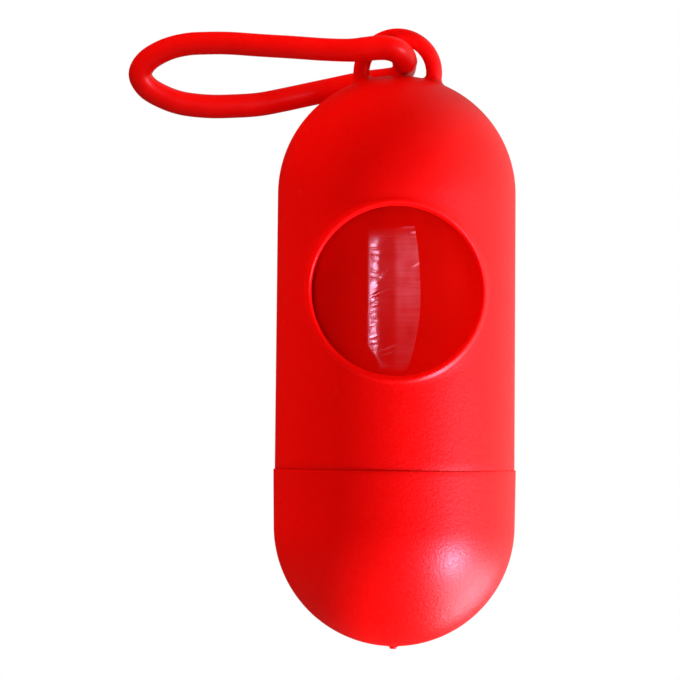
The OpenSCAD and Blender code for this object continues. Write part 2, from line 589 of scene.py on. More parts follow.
@dataclass(frozen=True)
class KraftCard:
    """Unbleached card: matt and rough, with short fibres of a darker brown."""

    name: str = "spiral_wound_kraft_card"
    colour: str = "b48c5e"
    fibre_colour: str = "8f6a42"
    ior: float = 1.5
    roughness: float = 0.85
    fibre_mm: float = 0.6
    fibre_depth_mm: float = 0.03
    # The fibre pattern's values that are all fibre and all card
    fibre_range: Span = (0.35, 0.65)

    def material(self) -> bpy.types.Material:
        """Build the material.

        Returns:
            The finished material.
        """
        material, tree, shader = new_material(self.name)
        place = add_node(tree, "ShaderNodeTexCoord").outputs["Object"]
        fibres = add_node(
            tree,
            "ShaderNodeTexNoise",
            {"Vector": place, "Scale": 1 / (self.fibre_mm * MM), "Detail": 8.0, "Roughness": 0.7},
        ).outputs["Fac"]
        low, high = self.fibre_range
        spread = add_node(
            tree, "ShaderNodeMapRange", {"Value": fibres, "From Min": low, "From Max": high}
        ).outputs["Result"]
        colour = add_node(
            tree,
            "ShaderNodeMix",
            {"Factor": spread, "A": linear(self.fibre_colour), "B": linear(self.colour)},
            data_type="RGBA",
        )
        bump = add_node(
            tree,
            "ShaderNodeBump",
            {"Height": fibres, "Strength": 1.0, "Distance": self.fibre_depth_mm * MM},
        )
        look = {
            "Base Color": colour.outputs[2],
            "Normal": bump.outputs["Normal"],
            "Roughness": self.roughness,
            "IOR": self.ior,
        }
        feed(tree, shader, look)
        return material


@dataclass(frozen=True)
class PalePaper:
    """Matt paper, seen pale, that lights and mirrors less, as a floor much farther down would."""

    name: str = "pale_paper"
    seen_colour: str = "ececec"
    bounced_colour: str = "c0c0c0"
    mirrored_colour: str = "3c3c3c"
    roughness: float = 0.9

    def material(self) -> bpy.types.Material:
        """Build the material.

        Returns:
            The finished material.
        """
        material, tree, shader = new_material(self.name)
        rays = add_node(tree, "ShaderNodeLightPath").outputs
        bounced = add_node(
            tree,
            "ShaderNodeMix",
            {
                "Factor": rays["Is Glossy Ray"],
                "A": linear(self.bounced_colour),
                "B": linear(self.mirrored_colour),
            },
            data_type="RGBA",
        )
        seen = add_node(
            tree,
            "ShaderNodeMix",
            {
                "Factor": rays["Is Camera Ray"],
                "A": bounced.outputs[2],
                "B": linear(self.seen_colour),
            },
            data_type="RGBA",
        )
        feed(tree, shader, {"Base Color": seen.outputs[2], "Roughness": self.roughness})
        return material


# ---------------------------------------------------------------- thread


@dataclass(frozen=True)
class Thread:
    """A right-hand ridge round a wall, which fades out at both ends."""

    height: float
    start_z: float = 0.0
    pitch: float = 3.0
    turns: float = 1.5
    root_w: float = 1.8
    crest_w: float = 0.8
    fade_turns: float = 0.08

    def rise(self, angle: float, z: float) -> float:
        """Give the ridge's height over the wall.

        Args:
            angle: direction of the point from the axis, in radians, from 0 to a full turn.
            z: height of the point.

        Returns:
            The height of the ridge there, negative for an inner thread.
        """
        best = 0.0
        for lap in range(math.ceil(self.turns) + 1):
            turn = angle / (2 * math.pi) + lap
            inside = min(turn, self.turns - turn)
            if inside < -self.fade_turns:
                continue
            off = abs(z - self.start_z - self.pitch * turn)
            flank = 1 - smooth_step(self.crest_w / 2, self.root_w / 2, off)
            best = max(best, flank * smooth_step(-self.fade_turns, self.fade_turns, inside))
        return self.height * best


def cut_thread(bm: bmesh.types.BMesh, thread: Thread, wall_r: float, low: float, high: float) -> None:
    """Raise a thread out of a wall's own mesh.

    Args:
        bm: mesh of the piece.
        thread: the thread.
        wall_r: radius of the wall that carries it.
        low: lowest height that the thread may touch.
        high: highest height that it may touch.
    """
    on_wall = 5 * WELD
    for vert in bm.verts:
        radius = vert.co.xy.length
        if abs(radius - wall_r) < on_wall and low < vert.co.z < high:
            angle = math.atan2(vert.co.y, vert.co.x) % (2 * math.pi)
            grown = (radius + thread.rise(angle, vert.co.z)) / radius
            vert.co.x *= grown
            vert.co.y *= grown


# ---------------------------------------------------------------- barrel


class Skin(Enum):
    """The two skins of the barrel's wall."""

    OUTER = "outer"
    INNER = "inner"


class Side(IntEnum):
    """The bail's two legs, by the sign of their place along X."""

    LEFT = -1
    RIGHT = 1


@dataclass
class Barrel:
    """The moulded barrel: a domed tube with a bail, a round window and a threaded neck."""

    eye_w: float = 8.4
    eye_h: float = 4.6
    rod_d: float = 2.4
    foot_fillet: float = 0.9
    # Width of the ring of dome round a foot that is meshed anew
    foot_margin: float = 0.25
    arch_steps: int = 24
    draft: float = 0.15
    wall: float = 1.5
    neck_h: float = 7.0
    neck_wall: float = 1.2
    neck_bore_r: float = 14.6
    shoulder_h: float = 1.5
    edge_round: float = 0.25
    seat_round: float = 0.06
    window_d: float = 25.0
    window_drop: float = 14.4
    window_inner_round: float = 0.5
    bead_w: float = 0.75
    bead_h: float = 0.24
    bead_skirt: float = 0.55
    bead_depth: float = 1.1
    # Half the part of each skin round the window that is meshed anew, in degrees and height
    patch_half_angle: float = 62.5
    patch_half_h: float = 17.0
    thread: Thread = Thread(height=0.8)
    thread_lead: float = 0.3
    thread_margin: float = 0.1
    finish: MouldedPolypropylene = MouldedPolypropylene()

    def __post_init__(self) -> None:
        """Work out the radii and heights from the frame's box."""
        low, high = box_mm("barrel")
        self.seam_r = high.x
        self.dome_r = self.seam_r - self.draft
        self.bore_r = self.dome_r - self.wall
        self.neck_r = self.neck_bore_r + self.neck_wall
        self.dome_z = -self.eye_h / 2 - self.dome_r
        self.dome = Vector((0, 0, self.dome_z))
        self.neck_z = low.z
        self.seam_z = low.z + self.neck_h
        self.shoulder_z = self.seam_z + self.shoulder_h
        self.window_z = self.dome_z - self.window_drop
        self.window_r = self.window_d / 2
        self.ring_r = (self.eye_w + self.rod_d) / 2
        self.ring_z = (self.eye_h - self.eye_w) / 2
        start = self.neck_z + self.thread_lead + self.thread.root_w / 2
        self.thread = replace(self.thread, start_z=start)

    def skin_r(self, skin: Skin, z: float) -> float:
        """Give a skin's radius at a height.

        Args:
            skin: the skin.
            z: the height.

        Returns:
            Its distance from the axis.
        """
        if z > self.dome_z:
            end_r = self.dome_r if skin is Skin.OUTER else self.bore_r
            return math.sqrt(max(0.0, end_r**2 - (z - self.dome_z) ** 2))
        if skin is Skin.INNER:
            return self.bore_r
        share = (z - self.seam_z) / (self.dome_z - self.seam_z)
        return self.seam_r + (self.dome_r - self.seam_r) * share

    def profile(self) -> list[Point]:
        """Draw the wall's section, from the inner pole round the neck to the outer pole.

        Returns:
            Distances from the axis and heights.
        """
        body_rows, dome_rows, neck_rows, round_rows = 46, 32, 44, 4
        edge, soft = self.edge_round, self.seat_round
        centre = (0, self.dome_z)
        inner_pole = (0.0, self.dome_z + self.bore_r)
        outer_pole = (0.0, self.dome_z + self.dome_r)
        heights = [z for _, z in line(centre, (0, self.shoulder_z), body_rows)]
        inside = [inner_pole] + arc(centre, (self.bore_r,) * 2, LAST_ROW, 0, dome_rows)
        inside += [(self.bore_r, z) for z in heights]
        inside += [(self.bore_r, self.shoulder_z), (self.neck_bore_r, self.shoulder_z)]
        mouth = arc((self.neck_bore_r + edge, self.neck_z + edge), (edge,) * 2, 180, 270, round_rows)
        mouth += arc((self.neck_r - edge, self.neck_z + edge), (edge,) * 2, 270, 360, round_rows)
        neck = line((self.neck_r, self.neck_z + edge), (self.neck_r, self.seam_z), neck_rows)
        seat = [(self.neck_r, self.seam_z)]
        seat += arc((self.seam_r - soft, self.seam_z + soft), (soft,) * 2, 270, 360, round_rows)
        outside = [(self.skin_r(Skin.OUTER, z), z) for z in [self.shoulder_z] + heights[::-1]]
        outside += arc(centre, (self.dome_r,) * 2, 0, LAST_ROW, dome_rows) + [outer_pole]
        return inside + mouth + neck + seat + outside

    def window_place(self, spread: float, angle: float, skin: Skin, rise: float = 0.0) -> Vector:
        """Find a point of a ring round the window.

        Args:
            spread: distance from the window's axis.
            angle: direction round that axis, in radians from +X.
            skin: the skin that carries the ring.
            rise: how far the ring lies out from the skin.

        Returns:
            The point, in front of the capsule's axis.
        """
        x = spread * math.cos(angle)
        z = self.window_z + spread * math.sin(angle)
        reach = self.skin_r(skin, z) + rise
        return Vector((x, -math.sqrt(reach**2 - x * x), z))

    def patch(self, bm: bmesh.types.BMesh, skin: Skin) -> Patch:
        """Find the faces of one skin that the window takes the place of.

        Args:
            bm: mesh of the barrel.
            skin: the skin.

        Returns:
            The faces.
        """
        faces = set()
        mid_wall_r = self.bore_r + self.wall / 2
        for face in bm.faces:
            centre = face.calc_center_median()
            azimuth = math.degrees(math.atan2(centre.x, -centre.y))
            face_r = math.hypot(centre.xy.length, max(0.0, centre.z - self.dome_z))
            in_skin = (face_r > mid_wall_r) == (skin is Skin.OUTER)
            level = abs(centre.z - self.window_z) < self.patch_half_h
            if in_skin and level and abs(azimuth) < self.patch_half_angle:
                faces.add(face)
        return faces

    def approach(
        self, start: Ring, angles: Sequence[float], spread: float, share: float, skin: Skin
    ) -> Ring:
        """Lay a ring on a skin, between a patch's edge and a ring round the window.

        Args:
            start: places round the patch's edge.
            angles: directions of the same points round the window's axis, in radians.
            spread: distance from the window's axis of the ring round the window.
            share: how far the ring lies towards the window, from 0 to 1.
            skin: the skin.

        Returns:
            The ring.
        """
        ring = []
        for first, angle in zip(start, angles):
            last = self.window_place(spread, angle, skin)
            azimuth = math.atan2(first.x, -first.y) * (1 - share) + math.atan2(last.x, -last.y) * share
            z = first.z * (1 - share) + last.z * share
            reach = self.skin_r(skin, z)
            ring.append(Vector((reach * math.sin(azimuth), -reach * math.cos(azimuth), z)))
        return ring

    def window_rings(self, outer_edge: Ring, inner_edge: Ring) -> list[Ring]:
        """Lay the rings from the outer patch's edge through the window to the inner one's.

        Args:
            outer_edge: places round the outer patch's edge.
            inner_edge: places round the inner patch's edge.

        Returns:
            The rings, over the bead and through the hole.
        """
        outer_steps, inner_steps, hole_share = 6, 5, 0.3
        round_shares = (0.0, 0.15, 0.35, 0.6, 1.0)
        count = len(outer_edge)
        angles = [math.pi / 2 - 2 * math.pi * i / count for i in range(count)]
        skirt_r = self.window_r + self.bead_w + self.bead_skirt
        shares = [k / outer_steps for k in range(1, outer_steps + 1)]
        rings = [self.approach(outer_edge, angles, skirt_r, t, Skin.OUTER) for t in shares]
        for spread, rise in self.bead_profile():
            rings.append([self.window_place(spread, a, Skin.OUTER, rise) for a in angles])
        inner_hole = [self.window_place(self.window_r, a, Skin.INNER) for a in angles]
        rings.append([a.lerp(b, hole_share) for a, b in zip(rings[-1], inner_hole)])
        round_r = self.window_inner_round
        for share in round_shares:
            spread = self.window_r + round_r * share
            rise = round_r * (1 - math.sqrt(share * (2 - share)))
            rings.append([self.window_place(spread, a, Skin.INNER, rise) for a in angles])
        for k in range(1, inner_steps):
            share = 1 - k / inner_steps
            rings.append(
                self.approach(inner_edge, angles, self.window_r + round_r, share, Skin.INNER)
            )
        return rings + [inner_edge]

    def open_window(self, bm: bmesh.types.BMesh) -> None:
        """Cut the window, with its raised bead and the wall of its hole.

        Args:
            bm: mesh of the barrel.
        """
        patches = {skin: self.patch(bm, skin) for skin in Skin}
        loops: dict[Skin, Loop] = {}
        edges: dict[Skin, Ring] = {}
        for skin, faces in patches.items():
            top = self.window_place(self.patch_half_h, math.pi / 2, skin)
            loops[skin] = walk_boundary(faces, top, Vector((1, 0, 0)))
            edges[skin] = [vert.co.copy() for vert in loops[skin]]
        bmesh.ops.delete(bm, geom=list(set.union(*patches.values())), context="FACES")
        march(bm, loops[Skin.OUTER], self.window_rings(edges[Skin.OUTER], edges[Skin.INNER]))
        bmesh.ops.remove_doubles(bm, verts=bm.verts, dist=WELD)

    def bead_profile(self) -> list[Point]:
        """Draw the bead's section, from its skirt to the hole.

        Returns:
            Distances from the window's axis and heights over the outer skin.
        """
        skirt_steps, crest_steps = 6, 14
        crest_r = self.window_r + self.bead_w
        shares = [k / skirt_steps for k in range(1, skirt_steps)]
        skirt = [
            (crest_r + self.bead_skirt * (1 - t), self.bead_h * smooth_step(0, 1, t)) for t in shares
        ]
        centre = (crest_r, self.bead_h - self.bead_depth)
        return skirt + arc(centre, (self.bead_w, self.bead_depth), 90, 180, crest_steps)

    def rod_place(self, side: Side, climb: float, angle: float) -> Vector:
        """Find a point on the bail's rod.

        Args:
            side: the leg.
            climb: angle up the ring from its horizontal, in radians.
            angle: direction round the rod, from outwards towards -Y, in radians.

        Returns:
            The point.
        """
        reach = self.ring_r + self.rod_d / 2 * math.cos(angle)
        return Vector(
            (
                side * reach * math.cos(climb),
                -self.rod_d / 2 * math.sin(angle),
                self.ring_z + reach * math.sin(climb),
            )
        )

    def climb_at_dome(self, side: Side, angle: float) -> float:
        """Find where one line along the rod meets the dome, by halving.

        Args:
            side: the leg.
            angle: direction round the rod, in radians.

        Returns:
            The climb of the meeting point, in radians.
        """
        low, high = math.radians(-60), math.radians(30)
        halvings = 40
        for _ in range(halvings):
            middle = (low + high) / 2
            if (self.rod_place(side, middle, angle) - self.dome).length < self.dome_r:
                low = middle
            else:
                high = middle
        return (low + high) / 2

    def on_dome(self, place: Vector) -> Vector:
        """Move a place straight out or in to the dome's outer skin."""
        return self.dome + (place - self.dome).normalized() * self.dome_r

    def foot_patch(self, bm: bmesh.types.BMesh, side: Side) -> Patch:
        """Find the dome's faces that one leg of the bail takes the place of.

        Args:
            bm: mesh of the barrel.
            side: the leg.

        Returns:
            The faces.
        """
        patch_r = self.rod_d / 2 + self.foot_fillet + self.foot_margin
        foot_x = self.ring_r * math.cos(self.climb_at_dome(Side.RIGHT, math.pi / 2))
        faces = set()
        for face in bm.faces:
            centre = face.calc_center_median()
            in_skin = abs((centre - self.dome).length - self.dome_r) < self.wall / 2
            on_top = centre.z > self.dome_z + self.dome_r / 2
            if in_skin and on_top and math.hypot(centre.x - side * foot_x, centre.y) < patch_r:
                faces.add(face)
        return faces

    def leg_rings(self, side: Side, edge: Ring) -> list[Ring]:
        """Lay the rings of one leg, from its patch's edge over the fillet to the bail's top.

        Args:
            side: the leg.
            edge: places round the patch's edge.

        Returns:
            The rings.
        """
        skin_shares, fillet_shares = (0.5, 1.0), (0.15, 0.3, 0.45, 0.6, 0.75, 0.9, 1.0)
        angles = [2 * math.pi * i / len(edge) for i in range(len(edge))]
        climbs = [self.climb_at_dome(side, angle) for angle in angles]
        firsts = [climb + self.foot_fillet / self.ring_r for climb in climbs]
        corners = [self.rod_place(side, climb, angle) for climb, angle in zip(climbs, angles)]
        necks = [self.rod_place(side, first, angle) for first, angle in zip(firsts, angles)]
        roots = []
        for climb, corner in zip(climbs, corners):
            middle_x = side * self.ring_r * math.cos(climb)
            away = Vector((corner.x - middle_x, corner.y, 0)).normalized()
            roots.append(self.on_dome(corner + away * self.foot_fillet))
        rings = [
            [self.on_dome(a.lerp(b, share)) for a, b in zip(edge, roots)] for share in skin_shares
        ]
        for t in fillet_shares:
            bends = zip(roots, corners, necks)
            rings.append([(1 - t) ** 2 * a + 2 * t * (1 - t) * b + t * t * c for a, b, c in bends])
        for step in range(1, self.arch_steps + 1):
            share = step / self.arch_steps
            arch = [first + (math.pi / 2 - first) * share for first in firsts]
            rings.append([self.rod_place(side, climb, angle) for climb, angle in zip(arch, angles)])
        return rings

    def raise_bail(self, bm: bmesh.types.BMesh) -> None:
        """Grow the bail out of the dome, with a fillet round each foot.

        Args:
            bm: mesh of the barrel.
        """
        for side in Side:
            faces = self.foot_patch(bm, side)
            beyond = self.dome + Vector((side * self.dome_r, 0, self.dome_r))
            loop = walk_boundary(faces, beyond, Vector((0, -1, 0)))
            bmesh.ops.delete(bm, geom=list(faces), context="FACES")
            march(bm, loop, self.leg_rings(side, [vert.co.copy() for vert in loop]))
        bmesh.ops.remove_doubles(bm, verts=bm.verts, dist=WELD)

    def build(self) -> bpy.types.Object:
        """Model and dress the barrel.

        Returns:
            The barrel.
        """
        bm = bmesh.new()
        spin_profile(bm, self.profile())
        low, high = self.neck_z + self.edge_round, self.seam_z - self.thread_margin
        cut_thread(bm, self.thread, self.neck_r, low, high)
        self.open_window(bm)
        self.raise_bail(bm)
        piece = make_piece("barrel_shell", bm, self.finish.material())
        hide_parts("barrel")
        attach(piece, "barrel")
        return piece


# ---------------------------------------------------------------- end cap


@dataclass
class EndCap:
    """The round end cap, which screws onto the barrel's neck."""

    wall: float = 1.2
    draft: float = 0.1
    skirt_h: float = 8.2
    lip_round: float = 0.1
    lip_crown: float = 0.14
    gate_d: float = 1.0
    gate_h: float = 0.4
    gate_root: float = 0.35
    gate_round: float = 0.15
    # Share of the gate's root and height at which its foot bends
    gate_bend: float = 0.25
    thread: Thread = Thread(height=-0.8)
    thread_rise: float = 1.05
    thread_margin: float = 0.05
    finish: MouldedPolypropylene = MouldedPolypropylene(name="moulded_polypropylene_red_cap")

    def __post_init__(self) -> None:
        """Work out the radii and heights from the frame's box."""
        low, high = box_mm("end_cap")
        self.lip_r = high.x
        self.end_r = self.lip_r - self.draft
        self.bore_r = self.lip_r - self.wall
        self.lip_z = high.z + self.lip_crown
        self.bowl_z = high.z - self.skirt_h
        self.tip_z = low.z
        self.thread = replace(self.thread, start_z=self.bowl_z + self.thread_rise)

    def profile(self) -> list[Point]:
        """Draw the wall's section, from the gate's stub up to the lip and down to the inner pole.

        Returns:
            Distances from the axis and heights.
        """
        bowl_rows, skirt_rows, thread_rows, round_rows, stub_rows = 36, 10, 52, 4, 3
        gate_r, soft, edge = self.gate_d / 2, self.gate_round, self.lip_round
        centre, lip_z = (0, self.bowl_z), self.lip_z - edge
        root_r = gate_r + self.gate_root
        root_z = self.bowl_z - math.sqrt(self.end_r**2 - root_r**2)
        root_angle = math.degrees(math.atan2(root_z - self.bowl_z, root_r))
        stub = [(0.0, self.tip_z)]
        stub += arc((gate_r - soft, self.tip_z + soft), (soft,) * 2, 270, 350, stub_rows)
        stub += [(gate_r + self.gate_root * self.gate_bend, root_z - self.gate_h * self.gate_bend)]
        bowl = arc(centre, (self.end_r,) * 2, root_angle, 0, bowl_rows)
        skirt = line((self.end_r, self.bowl_z), (self.lip_r, lip_z), skirt_rows)
        lip = arc((self.lip_r - edge, lip_z), (edge,) * 2, 0, 90, round_rows)
        lip += arc((self.bore_r + edge, lip_z), (edge,) * 2, 90, 180, round_rows)
        bore = line((self.bore_r, lip_z), (self.bore_r, self.bowl_z), thread_rows)
        inner_bowl = arc(centre, (self.bore_r,) * 2, 0, -LAST_ROW, bowl_rows)
        return stub + bowl + skirt + lip + bore + inner_bowl + [(0.0, self.bowl_z - self.bore_r)]

    def build(self) -> bpy.types.Object:
        """Model and dress the end cap.

        Returns:
            The end cap.
        """
        bm = bmesh.new()
        spin_profile(bm, self.profile())
        low, high = self.bowl_z + self.thread_margin, self.lip_z - self.lip_round
        cut_thread(bm, self.thread, self.bore_r, low, high)
        piece = make_piece("end_cap_shell", bm, self.finish.material())
        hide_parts("end_cap")
        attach(piece, "cap")
        return piece


# ---------------------------------------------------------------- soft loop


@dataclass
class StrapLoop:
    """The soft loop: one closed moulded cord through the bail's eye."""

    cord_r: float = 1.7
    # The cord is fuller where it bends through the eye, and in its lower run
    eye_swell: float = 0.14
    eye_bend: Triple = (0, -2.5, 1)
    eye_fade: Span = (3.0, 9.0)
    lower_swell: float = 0.07
    lower_z: float = -1.5
    lower_fade: float = 4.0
    flash_h: float = 0.05
    sides: int = 40
    cuts: int = 6
    finish: SoftRubber = SoftRubber()
    route: tuple[Triple, ...] = (
        (1, 0, -0.3),
        (1, -1.5, -0.2),
        (0.8, -2.4, 0.4),
        (0.1, -3.2, 1.1),
        (-1.2, -3.5, 1.6),
        (-2.8, -3.5, 1.7),
        (-4.8, -3.5, 1.5),
        (-7.2, -3.3, 1.3),
        (-11, -2.7, 1.4),
        (-15.5, -1.8, 1.7),
        (-20.5, -0.6, 2),
        (-25, 0.4, 2.3),
        (-28.5, 1.1, 2.3),
        (-31.5, 1.6, 2.1),
        (-34.5, 2.1, 1.3),
        (-37.2, 2.6, -0.3),
        (-38.3, 3.1, -2.3),
        (-37.3, 3.6, -4.2),
        (-35, 4, -5.6),
        (-32, 4.4, -6.6),
        (-28, 4.9, -7),
        (-24, 5.4, -6.9),
        (-20.5, 6, -6.6),
        (-17, 6.7, -5.9),
        (-13.5, 7.6, -5.1),
        (-10, 8.5, -4.3),
        (-7, 9.1, -3.6),
        (-4, 9.7, -3),
        (-1.8, 9.8, -2.7),
        (-0.2, 9.1, -2.4),
        (0.7, 7.6, -1.7),
        (1, 5.5, -1),
        (1, 3.2, -0.5),
    )

    def centre_line(self) -> Ring:
        """Smooth the route into a closed centre line.

        Returns:
            The centres of the cord's rings.
        """
        points = [Vector(p) for p in self.route]
        count = len(points)
        centres = []
        for i in range(count):
            a, b, c, d = (points[(i + k) % count] for k in (-1, 0, 1, 2))
            for cut in range(self.cuts):
                t = cut / self.cuts
                square, cube = 2 * a - 5 * b + 4 * c - d, 3 * b - a - 3 * c + d
                centres.append(0.5 * (2 * b + (c - a) * t + square * t**2 + cube * t**3))
        return centres

    def radius(self, centre: Vector) -> float:
        """Give the cord's radius at one of its centres.

        Args:
            centre: the centre.

        Returns:
            The radius.
        """
        at_eye = 1 - smooth_step(*self.eye_fade, (centre - Vector(self.eye_bend)).length)
        below = smooth_step(0.0, self.lower_fade, self.lower_z - centre.z)
        return self.cord_r + self.eye_swell * at_eye + self.lower_swell * below

    def rings(self) -> list[Ring]:
        """Lay a ring round each centre, turned on from ring to ring so that the last meets the first.

        Returns:
            The rings, with a thin line of flash on either side.
        """
        centres = self.centre_line()
        count = len(centres)
        headings = [(centres[(i + 1) % count] - centres[i - 1]).normalized() for i in range(count)]
        across = [Vector((0, 1, 0)).cross(headings[0]).normalized()]
        for i in range(1, count + 1):
            turn = headings[i - 1].rotation_difference(headings[i % count])
            across.append((turn @ across[-1]).normalized())
        twist = across[count].angle(across[0])
        if across[count].cross(across[0]).dot(headings[0]) < 0:
            twist = -twist
        rings = []
        for i, (centre, heading) in enumerate(zip(centres, headings)):
            side = Matrix.Rotation(twist * i / count, 3, heading) @ across[i]
            up = heading.cross(side)
            radius = self.radius(centre)
            ring = []
            for k in range(self.sides):
                angle = 2 * math.pi * k / self.sides
                reach = radius + (self.flash_h if k % (self.sides // 2) == 0 else 0)
                ring.append(centre + reach * (math.cos(angle) * side + math.sin(angle) * up))
            rings.append(ring)
        return rings

    def build(self) -> bpy.types.Object:
        """Model and dress the soft loop.

        Returns:
            The loop.
        """
        rings = self.rings()
        bm = bmesh.new()
        bmesh.ops.create_circle(bm, segments=self.sides, radius=self.cord_r)
        loop = list(bm.verts)
        for vert, place in zip(loop, rings[0]):
            vert.co = place
        march(bm, loop, rings[1:] + rings[:1])
        bmesh.ops.remove_doubles(bm, verts=bm.verts, dist=WELD)
        piece = make_piece("soft_loop", bm, self.finish.material(), sharp_angle=60.0)
        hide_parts("strap_loop")
        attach(piece, "strap")
        return piece


# ---------------------------------------------------------------- refill roll


@dataclass(frozen=True)
class Crease:
    """One crease in the leading bag, between two places on its unrolled face.

    A place is an arc length to the right of the middle of the window, and a height.
    """

    start: Point
    end: Point
    height: float
    width: float
    # Paleness mixed into the film's colour: stress whitening where faint, a painted glint where it is
    # near 0.7
    whitening_and_highlight: float
    # Share of its length over which each end fades, and what is left at the very end
    fade: float = 0.25
    end_share: float = 0.25

    def weight(self, arc_x: float, z: float) -> float:
        """Say how much of the crease a place of the film holds.

        Args:
            arc_x: arc length of the place.
            z: height of the place.

        Returns:
            1 on the crease's line, down to 0 away from it.
        """
        along = Vector((self.end[0] - self.start[0], self.end[1] - self.start[1]))
        out = Vector((arc_x - self.start[0], z - self.start[1]))
        share = min(1.0, max(0.0, out.dot(along) / along.length_squared))
        gap = (out - along * share).length
        # Past three widths nothing that matters is left of it
        if gap > 3 * self.width:
            return 0.0
        held = smooth_step(0.0, self.fade, share) * smooth_step(0.0, self.fade, 1 - share)
        return math.exp(-((gap / self.width) ** 2)) * (self.end_share + (1 - self.end_share) * held)


@dataclass(frozen=True)
class Ripple:
    """A smooth random wave over the film's unrolled face."""

    # Waves for each millimetre of arc and of height, and the slice of noise that is read
    around: float
    upwards: float
    slice: float

    def at(self, arc_x: float, z: float) -> float:
        """Give the wave's value at a place, from about -1 to 1."""
        return noise.noise(Vector((arc_x * self.around, z * self.upwards, self.slice)))


@dataclass
class RefillRoll:
    """The refill roll: a card core, the wound film on it, and the outermost bag.

    Azimuths are degrees from the middle of the window, rising to the right.
    """

    core_wall: float = 1.0
    core_round: float = 0.15
    web_gap: float = 0.05
    web_round: float = 0.2
    face_grooves: int = 9
    groove_h: float = 0.12

    film_t: float = 0.08
    # The film's last edge, its bow above and below the middle in degrees, and its lift
    edge_azimuth: float = 14.0
    edge_middle_z: float = -35.5
    edge_bow: float = 3.4
    foot_bow: float = 7.0
    bow_h: float = 10.0
    bow_limit: float = 1.3
    edge_lift: float = 0.14
    edge_lift_w: float = 1.8
    # How far the film laps over its own inner end, and where it climbs, reckoned from that end
    under_lap: float = 80.0
    climb: Span = (-14.0, 2.0)
    # Room kept inside the roll's outer radius
    outer_gap: float = 0.05
    # What shows through the window, as half an angle and a stretch of height
    view_half: float = 62.0
    view_z: Span = (-48.0, -21.0)
    # The grid's columns in degrees, under the lap, round the back and in view, and its rows
    inner_step: float = 4.0
    back_step: float = 6.0
    view_step: float = 1.2
    foot_row: float = 1.2
    view_row: float = 0.12
    top_row: float = 0.9
    # The film springs out in the window, more at its sides and most at its rim
    bulge_h: float = 0.6
    side_bulge_h: float = 1.5
    side_bulge: Span = (12.0, 42.0)
    rim_bulge_h: float = 0.45
    rim_bulge: Span = (34.0, 52.0)
    # The bulge is whole within the first height from its middle and gone at the second
    bulge_z: float = -34.4
    bulge_half: Span = (13.0, 18.5)
    # Azimuth to either side at which it is gone
    bulge_end: float = 93.0
    # The loose flap, whose left side leans to the right at its foot
    flap_left: float = -4.3
    flap_fade: float = 0.5
    flap_top: float = -24.6
    flap_top_fade: float = 3.0
    flap_foot: float = -46.5
    flap_foot_fade: float = 2.0
    flap_lean: float = 1.7
    flap_lean_z: Span = (-42.0, -45.2)
    # A faint painted sheen over the flap, paler colour in place of light it mirrors, denser towards its
    # edge and its top
    flap_sheen: float = 0.03
    flap_sheen_x: Span = (-2.8, -2.2)
    edge_sheen: float = 0.11
    edge_sheen_x: Span = (-0.6, 0.4)
    foot_sheen_share: float = 0.3
    top_sheen_share: float = 0.9
    top_sheen_z: Span = (-42.0, -32.0)
    # Short breaks in the streak of light on the flap, each range for one random draw
    break_seed: int = 11
    break_count: int = 15
    break_z: Span = (-43.4, -27.4)
    break_spacing: Span = (0.1, 0.9)
    break_slant: Span = (-0.3, 0.5)
    break_height: Span = (0.003, 0.010)
    break_width: Span = (0.12, 0.16)
    break_left: Span = (-4.9, -3.9)
    break_right: Span = (-3.0, -1.9)
    # The waves of the film and of its painted sheen, with their strengths
    wrinkle_h: float = 0.006
    looseness: float = 0.02
    wrinkles: tuple[tuple[float, Ripple], ...] = (
        (1.0, Ripple(0.22, 0.9, 1.5)),
        (1.6, Ripple(1.3, 0.9, 7.5)),
    )
    slack: Ripple = Ripple(0.08, 0.07, 3.0)
    edge_wave: Ripple = Ripple(0.0, 0.35, 4.0)
    edge_wave_mean: float = 0.6
    edge_wave_h: float = 0.8
    sheen_mean: float = 0.8
    sheen_waves: tuple[tuple[float, Ripple], ...] = (
        (0.5, Ripple(0.8, 0.5, 9.0)),
        (0.35, Ripple(0.12, 2.6, 2.0)),
    )
    card: KraftCard = KraftCard()
    web: WoundWeb = WoundWeb()
    film: BlownFilm = BlownFilm()
    # The two creases whitened to about 0.7 carry painted glints; the faint whitening of the rest is
    # stress whitening
    creases: tuple[Crease, ...] = (
        Crease((0.5, -25.1), (3.1, -24.9), 0.04, 0.13, 0.12),
        Crease((1.9, -25.8), (3.2, -25.6), 0.07, 0.12, 0.7),
        Crease((0.4, -26.8), (1.6, -25.6), 0.02, 0.2, 0.05),
        Crease((2.2, -30.9), (3.5, -30.0), 0.06, 0.12, 0.75),
        Crease((1.2, -31.6), (2.3, -30.9), 0.03, 0.15, 0.1),
        Crease((2.6, -31.6), (3.6, -30.9), 0.03, 0.12, 0.1),
        Crease((-2.1, -32.8), (-1.0, -30.6), 0.04, 0.14, 0.1),
        Crease((-1.4, -31.6), (0.4, -29.0), 0.02, 0.2, 0.03),
        Crease((-2.6, -33.4), (3.6, -33.5), 0.05, 0.13, 0.06),
        Crease((-3.6, -35.3), (-0.9, -33.9), 0.05, 0.13, 0.1),
        Crease((-3.0, -34.8), (-0.6, -33.8), 0.03, 0.13, 0.06),
        Crease((-3.4, -36.6), (0.2, -35.4), 0.02, 0.16, 0.03),
        Crease((-0.5, -37.5), (3.5, -37.8), 0.02, 0.16, 0.04),
        Crease((0.2, -38.6), (3.4, -38.7), 0.02, 0.16, 0.04),
        Crease((-2.1, -43.2), (0.2, -42.2), 0.04, 0.14, 0.08),
        Crease((-1.9, -43.9), (-0.2, -43.2), 0.03, 0.14, 0.06),
        Crease((0.4, -42.6), (3.0, -42.2), 0.015, 0.16, 0.03),
    )

